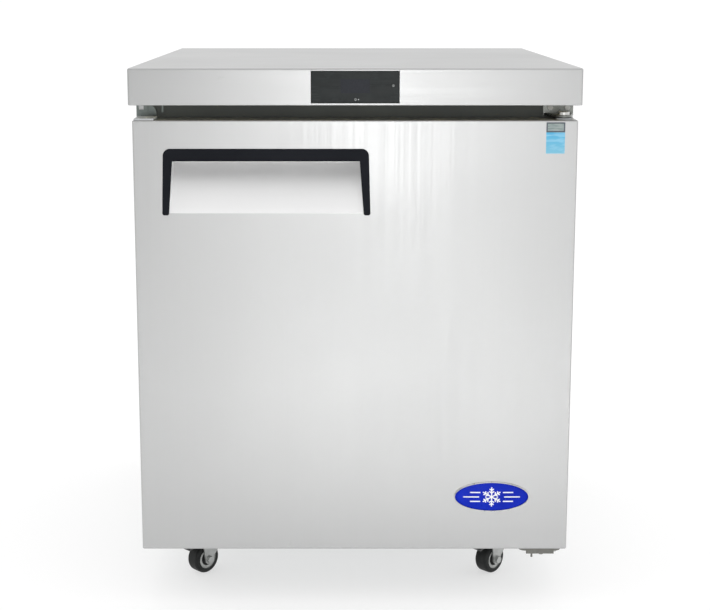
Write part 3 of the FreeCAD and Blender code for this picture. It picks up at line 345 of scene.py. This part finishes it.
X_GRAIN, Z_GRAIN = 0, 2
front_steel = brushed_steel("door_steel", Z_GRAIN)
looks = {
    "stainless": front_steel,
    "galvanised": galvanised("galvanised_sheet"),
    "plated_steel": plated("bright_plate", (0.66, 0.66, 0.64), 0.22),
    "zinc_plate": plated("dull_zinc", (0.46, 0.46, 0.44), 0.38),
    "foam": foam("urethane_foam"),
    "liner_metal": brushed_steel("liner_aluminium", Z_GRAIN, (0.72, 0.73, 0.74), 0.38, 0.04),
    # the breaker frame's dark tone is partly the moulding's own colour and partly painted shade for the gap
    # under the worktop
    "dark_plastic": moulded("dark_frame_plastic_and_painted_shade", (0.096, 0.107, 0.102), 0.5),
    "handle_plastic": moulded("handle_plastic", (0.005, 0.0062, 0.0095), 0.5, specular=0.09),
    "gloss_black": gloss_black("panel_gloss", (0.009, 0.0115, 0.0115), 0.24),
    "white_plastic": moulded("white_plastic", (0.80, 0.81, 0.80), 0.36, spread=0.03),
    "board": circuit_board("solder_mask"),
    "wire_coating": painted("epoxy_wire", (0.78, 0.79, 0.79), 0.28),
    "fins": fin_stack("fin_stock", 120.0),
    "motor_grey": painted("motor_paint", (0.16, 0.165, 0.17), 0.5),
    "fan_plastic": moulded("fan_plastic", (0.03, 0.03, 0.03), 0.5),
    "compressor_black": painted("compressor_enamel", (0.012, 0.012, 0.012), 0.34),
    "copper": copper("copper_tube"),
    "nylon": moulded("nylon", (0.60, 0.62, 0.63), 0.42, spread=0.04),
    "gasket": rubber("gasket_vinyl", (0.045, 0.046, 0.048), 0.55),
    "badge_blue": enamel("badge_enamel", (0.001, 0.020, 0.50)),
    "label": moulded("label_film", (0.20, 0.55, 0.85), 0.4, grain=300.0, spread=0.08),
    "caster_steel": plated("caster_zinc", (0.52, 0.53, 0.52), 0.34),
    "wheel_rubber": rubber("tread_rubber", (0.02, 0.021, 0.021)),
    "pedal_black": painted("pedal_paint", (0.03, 0.03, 0.031), 0.4),
    "key_black": gloss_black("key_gloss", (0.05, 0.052, 0.05), 0.3),
}
slot_of = {part["node"]: part["material_slot"] for part in frame["record"]["subparts"]}
special = {
    "worktop": brushed_steel("worktop_steel", X_GRAIN, tuple(c * 0.94 for c in STEEL)),
    "side_panel_left": brushed_steel("side_steel_left", Z_GRAIN),
    "side_panel_right": brushed_steel("side_steel_right", Z_GRAIN),
    # the scoop is the door's stainless painted much lighter: painted light standing in for the light its shaded
    # recess does not get
    "handle_scoop": brushed_steel("scoop_steel_painted_light", X_GRAIN, (0.84, 0.84, 0.84), rough=0.64),
    # the top hinge bracket is a darker copy of the galvanised sheet: painted shade for the gap under the
    # worktop
    "top_hinge_bracket": galvanised("bracket_zinc_painted_shade", (0.25, 0.26, 0.245), 210.0),
    "bottom_hinge_bracket": galvanised("foot_zinc", (0.19, 0.19, 0.175), 210.0),
    # the spare hinge plate is a darker copy of the galvanised sheet: painted shade for the gap under the
    # worktop
    "reverse_hinge_plate": galvanised("spare_zinc_painted_shade", (0.20, 0.225, 0.215), 210.0),
    "rear_grille": galvanised("grille_zinc", (0.26, 0.28, 0.28), 150.0),
}


def dress(piece, material):
    """Give every slot of a piece one material."""
    if not piece.data.materials:
        piece.data.materials.append(material)
    for i in range(len(piece.data.materials)):
        piece.data.materials[i] = material


for node_name, piece in nodes.items():
    dress(piece, special.get(node_name, looks[slot_of[node_name]]))
for tag in ("fl", "fr", "rl", "rr"):
    dress(nodes["caster_wheel_" + tag], wheel_look(tag))


# ---------------------------------------------------------------- mesh building
def make_piece(name, verts, faces, material, body, smooth=True):
    """A mesh piece from points and faces, riding on a body."""
    mesh = bpy.data.meshes.new(name)
    mesh.from_pydata([tuple(v) for v in verts], [], faces)
    build = bmesh.new()
    build.from_mesh(mesh)
    bmesh.ops.recalc_face_normals(build, faces=build.faces)
    build.to_mesh(mesh)
    build.free()
    for polygon in mesh.polygons:
        polygon.use_smooth = smooth
    piece = bpy.data.objects.new(name, mesh)
    bpy.context.scene.collection.objects.link(piece)
    dress(piece, material)
    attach(piece, body)
    return piece


def grid_faces(rows, columns, wrap):
    """Quads between consecutive rows of points."""
    faces = []
    for r in range(rows - 1):
        for c in range(columns if wrap else columns - 1):
            n = (c + 1) % columns
            faces.append((r * columns + c, r * columns + n, (r + 1) * columns + n, (r + 1) * columns + c))
    return faces


def bevel(piece, width, segments=2, angle=35.0):
    """Round the sharp edges of a piece."""
    mod = piece.modifiers.new("bevel", "BEVEL")
    mod.width = width
    mod.segments = segments
    mod.limit_method = "ANGLE"
    mod.angle_limit = math.radians(angle)
    mod.harden_normals = False


# ---------------------------------------------------------------- badge: rim, domed enamel and a snow crystal
badge_low, badge_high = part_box("badge")
badge_x = (badge_low.x + badge_high.x) / 2
badge_z = (badge_low.z + badge_high.z) / 2
badge_a = (badge_high.x - badge_low.x) / 2
badge_b = (badge_high.z - badge_low.z) / 2
badge_back, badge_front = badge_high.y, badge_low.y
RIM = 2.0 * MM
ROUND = 96               # points round the oval


def oval_loop(inset, y):
    """Points round the badge's oval, inset from its edge, at one depth."""
    turns = [2 * math.pi * i / ROUND for i in range(ROUND)]
    return [(badge_x + (badge_a - inset) * math.cos(t), y, badge_z + (badge_b - inset) * math.sin(t))
            for t in turns]


# (share of the rim's width from the outer edge, share of its height)
rim_profile = [(0.0, 0.0), (0.0, 0.55), (0.12, 0.85), (0.35, 1.0), (0.65, 1.0), (0.88, 0.85), (1.0, 0.60),
               (1.0, 0.0)]
rim_depth = badge_back - badge_front
rim_points = [p for across, up in rim_profile for p in oval_loop(across * RIM, badge_back - up * rim_depth)]
rim_faces = grid_faces(len(rim_profile), ROUND, True)
rim_last = (len(rim_profile) - 1) * ROUND
rim_faces += [(c, (c + 1) % ROUND, rim_last + (c + 1) % ROUND, rim_last + c) for c in range(ROUND)]
make_piece("badge_rim", rim_points, rim_faces, looks["plated_steel"], "door")

RINGS = 10
DOME_EDGE = 1.0 * MM     # thickness of the enamel at its edge
DOME_RISE = 0.9 * MM     # and how much more it has in the middle
dome = []
for ring in range(RINGS):
    share = 1 - ring / RINGS
    depth = DOME_EDGE + DOME_RISE * (1 - share ** 2)
    dome += [(badge_x + (p[0] - badge_x) * share, badge_back - depth, badge_z + (p[2] - badge_z) * share)
             for p in oval_loop(RIM * 0.9, 0)]
dome_faces = grid_faces(RINGS, ROUND, True)
dome.append((badge_x, badge_back - DOME_EDGE - DOME_RISE, badge_z))
inner = (RINGS - 1) * ROUND
dome_faces += [(inner + c, inner + (c + 1) % ROUND, len(dome) - 1) for c in range(ROUND)]
back_ring = len(dome)
dome += oval_loop(RIM * 0.9, badge_back)
dome_faces += [(c, (c + 1) % ROUND, back_ring + (c + 1) % ROUND, back_ring + c) for c in range(ROUND)]
dome_faces.append(tuple(back_ring + c for c in range(ROUND)))
badge_dome = make_piece("badge_dome", dome, dome_faces, looks["badge_blue"], "door")
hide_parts("badge")


def dome_y(x, z):
    """Depth of the enamel's surface at a point."""
    share = ((x - badge_x) / (badge_a - RIM)) ** 2 + ((z - badge_z) / (badge_b - RIM)) ** 2
    return badge_back - DOME_EDGE - DOME_RISE * max(0.0, 1 - share)


def stroke(start, end, width):
    """A raised line with round ends that follows the dome: its points and faces."""
    lift, root, steps = 0.25 * MM, 0.1 * MM, 6
    a, b = Vector((start[0], 0, start[1])), Vector((end[0], 0, end[1]))
    along = (b - a).normalized()
    across = Vector((-along.z, 0, along.x))
    outline = []
    for i in range(steps + 1):
        turn = math.pi / 2 + math.pi * i / steps
        outline.append(a + (along * math.cos(turn) + across * math.sin(turn)) * width / 2)
    for i in range(steps + 1):
        turn = -math.pi / 2 + math.pi * i / steps
        outline.append(b + (along * math.cos(turn) + across * math.sin(turn)) * width / 2)
    count = len(outline)
    top = [(p.x, dome_y(p.x, p.z) - lift, p.z) for p in outline]
    foot = [(p.x, dome_y(p.x, p.z) + root, p.z) for p in outline]
    faces = [tuple(range(count)), tuple(range(count, 2 * count))[::-1]]
    faces += [(i, (i + 1) % count, count + (i + 1) % count, count + i) for i in range(count)]
    return top + foot, faces


def strokes(name, lines, width, material, body):
    """Many raised lines as one piece."""
    verts, faces = [], []
    for start, end in lines:
        points, loops = stroke(start, end, width)
        faces += [tuple(i + len(verts) for i in loop) for loop in loops]
        verts += points
    return make_piece(name, verts, faces, material, body, smooth=False)


ARM = 15.5 * MM
LINE = 1.9 * MM
crystal = []
for k in range(6):
    turn = math.radians(60 * k + 30)
    out = Vector((math.cos(turn), math.sin(turn)))
    crystal.append(((badge_x, badge_z), (badge_x + out.x * ARM, badge_z + out.y * ARM)))
    for reach, twig in ((0.42, 4.2 * MM), (0.70, 3.4 * MM)):
        root = Vector((badge_x + out.x * ARM * reach, badge_z + out.y * ARM * reach))
        for lean in (-1, 1):
            side = Vector((math.cos(turn + lean * math.radians(55)), math.sin(turn + lean * math.radians(55))))
            crystal.append(((root.x, root.y), (root.x + side.x * twig, root.y + side.y * twig)))
for side in (-1, 1):
    for lift, near, far in ((7.5, 19.0, 34.0), (0.0, 21.0, 45.0), (-7.5, 19.0, 34.0)):
        bar_z = badge_z + lift * MM
        crystal.append(((badge_x + side * near * MM, bar_z), (badge_x + side * far * MM, bar_z)))
white_print = moulded("badge_white", (0.86, 0.87, 0.88), 0.3, spread=0.02)
strokes("badge_crystal", crystal, LINE, white_print, "door")


# ---------------------------------------------------------------- label: framed strip over a pale blue field
label_low, label_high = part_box("rating_label")
LABEL_STRIP = 15.5 * MM


def card(name, x, z, y, material, radius=0.6 * MM, thick=0.1 * MM, body="door"):
    """A thin upright card with round corners."""
    outline = []
    for cx, cz, begin in ((x[1] - radius, z[1] - radius, 0), (x[0] + radius, z[1] - radius, 90),
                          (x[0] + radius, z[0] + radius, 180), (x[1] - radius, z[0] + radius, 270)):
        for step in range(5):
            turn = math.radians(begin + 90 * step / 4)
            outline.append((cx + radius * math.cos(turn), cz + radius * math.sin(turn)))
    count = len(outline)
    verts = [(px, y, pz) for px, pz in outline] + [(px, y + thick, pz) for px, pz in outline]
    faces = [tuple(range(count)), tuple(range(count, 2 * count))[::-1]]
    faces += [(i, (i + 1) % count, count + (i + 1) % count, count + i) for i in range(count)]
    return make_piece(name, verts, faces, material, body, smooth=False)


def label_field_look():
    """Pale blue print in soft horizontal bands, fading downwards."""
    s = Shader("label_blue", (0.2, 0.6, 0.9), 0.35, Coat_Weight=0.3)
    height = s.axis(2)
    fade = s.remap(height, label_low.z, label_high.z - LABEL_STRIP, 0.0, 1.0)
    waves = s.noise(1.0, (40, 1, 210), detail=2.0)
    blue = s.blend(fade, (0.17, 0.48, 0.64), (0.06, 0.40, 0.66))
    s.colour(s.blend(s.remap(waves, 0.46, 0.60, 0.0, 0.6), blue, (0.28, 0.57, 0.74)))
    s.rough(s.remap(waves, 0.3, 0.7, 0.3, 0.42))
    s.bump(s.noise(500.0), 0.00002, 0.2)
    return s.mat


def label_strip_look():
    """Grey-green print with fine horizontal rules that carry no lettering."""
    s = Shader("label_strip", (0.3, 0.34, 0.32), 0.4)
    rules = s.noise(1.0, (90, 1, 900), detail=1.0)
    s.colour(s.blend(s.remap(rules, 0.45, 0.6, 0.0, 0.8), (0.19, 0.25, 0.24), (0.34, 0.38, 0.37)))
    s.rough(s.remap(rules, 0.3, 0.7, 0.35, 0.5))
    s.bump(rules, 0.00002, 0.2)
    return s.mat


strip_low = label_high.z - LABEL_STRIP
label_field = card("label_field", (label_low.x, label_high.x), (label_low.z, label_high.z),
                   label_low.y + 0.12 * MM, label_field_look(), thick=0.16 * MM)
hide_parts("rating_label")
card("label_frame", (label_low.x, label_high.x), (strip_low, label_high.z), label_low.y + 0.06 * MM,
     moulded("label_border", (0.085, 0.095, 0.115), 0.5, grain=300.0), thick=0.1 * MM)
card("label_strip", (label_low.x + 2.1 * MM, label_high.x - 2.1 * MM),
     (strip_low + 2.4 * MM, label_high.z - 2.0 * MM), label_low.y, label_strip_look(),
     radius=0.3 * MM, thick=0.1 * MM)


# ---------------------------------------------------------------- gasket: a bellows swept round the door's edge
seal_low, seal_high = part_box("door_gasket")
seal_depth = seal_high.y - seal_low.y
# (share of the width from the outer edge, share of the depth from the door)
bellows = [(0.06, 0.0), (0.06, 0.30), (0.0, 0.36), (0.10, 0.44), (0.03, 0.54), (0.14, 0.62), (0.08, 0.74),
           (0.12, 0.92), (0.22, 1.0), (0.66, 1.0), (0.78, 0.92), (0.80, 0.74), (0.86, 0.62), (0.97, 0.50),
           (0.90, 0.40), (1.0, 0.30), (1.0, 0.0)]
SEAL_WIDTH = 19.5 * MM
loops = []
for across, up in bellows:
    inset = across * SEAL_WIDTH
    y = seal_low.y + up * seal_depth
    x0, x1, z0, z1 = seal_low.x + inset, seal_high.x - inset, seal_low.z + inset, seal_high.z - inset
    loops += [(x0, y, z0), (x1, y, z0), (x1, y, z1), (x0, y, z1)]
seal_faces = grid_faces(len(bellows), 4, True)
last = (len(bellows) - 1) * 4
seal_faces += [(c, (c + 1) % 4, last + (c + 1) % 4, last + c) for c in range(4)]
gasket = make_piece("gasket_bellows", loops, seal_faces, looks["gasket"], "door", smooth=False)
bevel(gasket, 0.5 * MM, 2, 30)
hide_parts("door_gasket")


# ---------------------------------------------------------------- control panel: numeral window and key marks
lens_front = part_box("display_lens")[0].y


def window_look():
    """Smoked numeral window, a shade bluer than the panel, with a faint segment grid."""
    s = Shader("numeral_window", (0.008, 0.010, 0.014), 0.16, Specular_IOR_Level=0.10)
    mesh = s.noise(1.0, (500, 1, 500), detail=1.0)
    s.colour(s.blend(s.remap(mesh, 0.45, 0.6, 0, 1), (0.006, 0.008, 0.013), (0.010, 0.012, 0.018)))
    s.rough(s.remap(mesh, 0.3, 0.7, 0.10, 0.16))
    s.bump(mesh, 0.00001, 0.2)
    return s.mat


WINDOW_HALF = 22.5 * MM
WINDOW_LOW, WINDOW_HIGH = 829 * MM, 850.6 * MM
card("numeral_window", (-WINDOW_HALF, WINDOW_HALF), (WINDOW_LOW, WINDOW_HIGH), lens_front - 0.12 * MM,
     window_look(), radius=0.8 * MM, thick=0.15 * MM, body="cabinet")


def ring_mark(name, x, z, y, radius, line, gap, material, body):
    """A thin printed ring, open at the top by a gap in degrees, with a short stem when it is open."""
    count, thick = 28, 0.05 * MM
    span = math.radians(360 - gap)
    turns = [math.pi / 2 + math.radians(gap) / 2 + span * i / count for i in range(count + 1)]
    verts, faces = [], []
    for turn in turns:
        for away in (radius, radius - line):
            for depth in (y, y + thick):
                verts.append((x + away * math.cos(turn), depth, z + away * math.sin(turn)))
    for i in range(count):
        a, b = 4 * i, 4 * i + 4
        faces += [(a, a + 2, b + 2, b), (a + 1, b + 1, b + 3, a + 3), (a, b, b + 1, a + 1),
                  (a + 2, a + 3, b + 3, b + 2)]
    faces += [(0, 1, 3, 2), (4 * count, 4 * count + 2, 4 * count + 3, 4 * count + 1)]
    if gap:
        first = len(verts)
        half, foot, tip = line / 2, 0.2 * radius, 1.1 * radius
        for px, pz in ((-half, foot), (half, foot), (half, tip), (-half, tip)):
            verts += [(x + px, y, z + pz), (x + px, y + thick, z + pz)]
        faces += [tuple(first + k for k in (0, 2, 4, 6)), tuple(first + k for k in (1, 7, 5, 3))]
        faces += [tuple(first + k for k in (c, c + 1, (c + 3) % 8, (c + 2) % 8)) for c in (0, 2, 4, 6)]
    return make_piece(name, verts, faces, material, body, smooth=False)


panel_print = moulded("panel_print", (0.46, 0.48, 0.48), 0.4, spread=0.04)
for key, gap in (("power_key", 70), ("set_key", 0)):
    key_low, key_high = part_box(key)
    key_x, key_z = (key_low.x + key_high.x) / 2, (key_low.z + key_high.z) / 2
    ring_mark(key + "_mark", key_x, key_z, key_low.y - 0.03 * MM, 1.5 * MM, 0.5 * MM, gap, panel_print, key)
    if key == "set_key":
        ring_mark("indicator_mark", key_x + 4.6 * MM, key_z, lens_front - 0.04 * MM, 0.9 * MM, 0.85 * MM, 0,
                  panel_print, "cabinet")

# ---------------------------------------------------------------- floor
FLOOR_HALF = 300.0


def floor_look():
    """Matte white studio floor that glows a little, so shadows on it stay pale."""
    s = Shader("studio_floor", shade(0.46), 0.85)
    s.main.inputs["Emission Color"].default_value = (1, 1, 1, 1)
    s.main.inputs["Emission Strength"].default_value = 0.58
    s.main.inputs["Specular IOR Level"].default_value = 0.1
    return s.mat


floor_mesh = bpy.data.meshes.new("floor")
corners = [(-FLOOR_HALF, -FLOOR_HALF, 0), (FLOOR_HALF, -FLOOR_HALF, 0),
           (FLOOR_HALF, FLOOR_HALF, 0), (-FLOOR_HALF, FLOOR_HALF, 0)]
floor_mesh.from_pydata(corners, [], [(0, 1, 2, 3)])
floor = bpy.data.objects.new("floor", floor_mesh)
bpy.context.scene.collection.objects.link(floor)
floor_mesh.materials.append(floor_look())

# ---------------------------------------------------------------- light
scene = bpy.context.scene
world = bpy.data.worlds.new("studio")
scene.world = world
world.use_nodes = True
tree = world.node_tree
backdrop = tree.nodes["Background"]
# the room is white, with a greyer patch in front and to the left
GREY_PATCH = (-0.45, -0.89, 0.0)
direction = tree.nodes.new("ShaderNodeTexCoord")
facing = tree.nodes.new("ShaderNodeVectorMath")
facing.operation = "DOT_PRODUCT"
tree.links.new(direction.outputs["Generated"], facing.inputs[0])
facing.inputs[1].default_value = GREY_PATCH
fade = tree.nodes.new("ShaderNodeMapRange")
fade.interpolation_type = "SMOOTHSTEP"
tree.links.new(facing.outputs["Value"], fade.inputs["Value"])
for key, number in (("From Min", 0.72), ("From Max", 1.0), ("To Min", 1.0), ("To Max", 0.22)):
    fade.inputs[key].default_value = number
tree.links.new(fade.outputs["Result"], backdrop.inputs["Strength"])
backdrop.inputs["Color"].default_value = (1.0, 1.0, 1.0, 1)


def softbox(name, at, towards, size, power, spread=180):
    """A rectangular soft light aimed at a point."""
    lamp = bpy.data.lights.new(name, "AREA")
    lamp.shape = "RECTANGLE"
    lamp.size, lamp.size_y = size
    lamp.energy = power
    lamp.spread = math.radians(spread)
    holder = bpy.data.objects.new(name, lamp)
    bpy.context.scene.collection.objects.link(holder)
    holder.location = at
    holder.rotation_euler = (Vector(towards) - Vector(at)).to_track_quat("-Z", "Y").to_euler()
    holder.visible_camera = False
    return holder


softbox("front_box", (0.10, -3.3, 0.9), (0.07, 0, 0.7), (0.5, 1.4), 8.4)
softbox("pool_box", (0.17, -1.75, 1.5), (0.17, -1.75, 0), (0.3, 1.1), 10, spread=65)
softbox("right_box", (3.4, 0.4, 1.7), (0, 0, 0.5), (2.0, 1.6), 10)
softbox("back_box", (-2.4, 3.0, 1.9), (0, 0, 0.5), (2.0, 1.4), 10)
softbox("top_box", (0.0, 0.2, 3.2), (0, 0, 0.8), (2.4, 2.0), 5)

scene.view_settings.view_transform = "Standard"
scene.view_settings.look = "None"

# ---------------------------------------------------------------- camera
camera_data = bpy.data.cameras.new("camera")
camera = bpy.data.objects.new("camera", camera_data)
scene.collection.objects.link(camera)
camera.location = (-0.021, -2.604, 0.986)
camera.rotation_euler = (math.radians(90 - 10.16), 0, 0)
camera_data.sensor_width = 36.0
camera_data.lens = 73.32
camera_data.shift_x = 0.019
camera_data.shift_y = -0.080
camera_data.dof.use_dof = False
scene.camera = camera
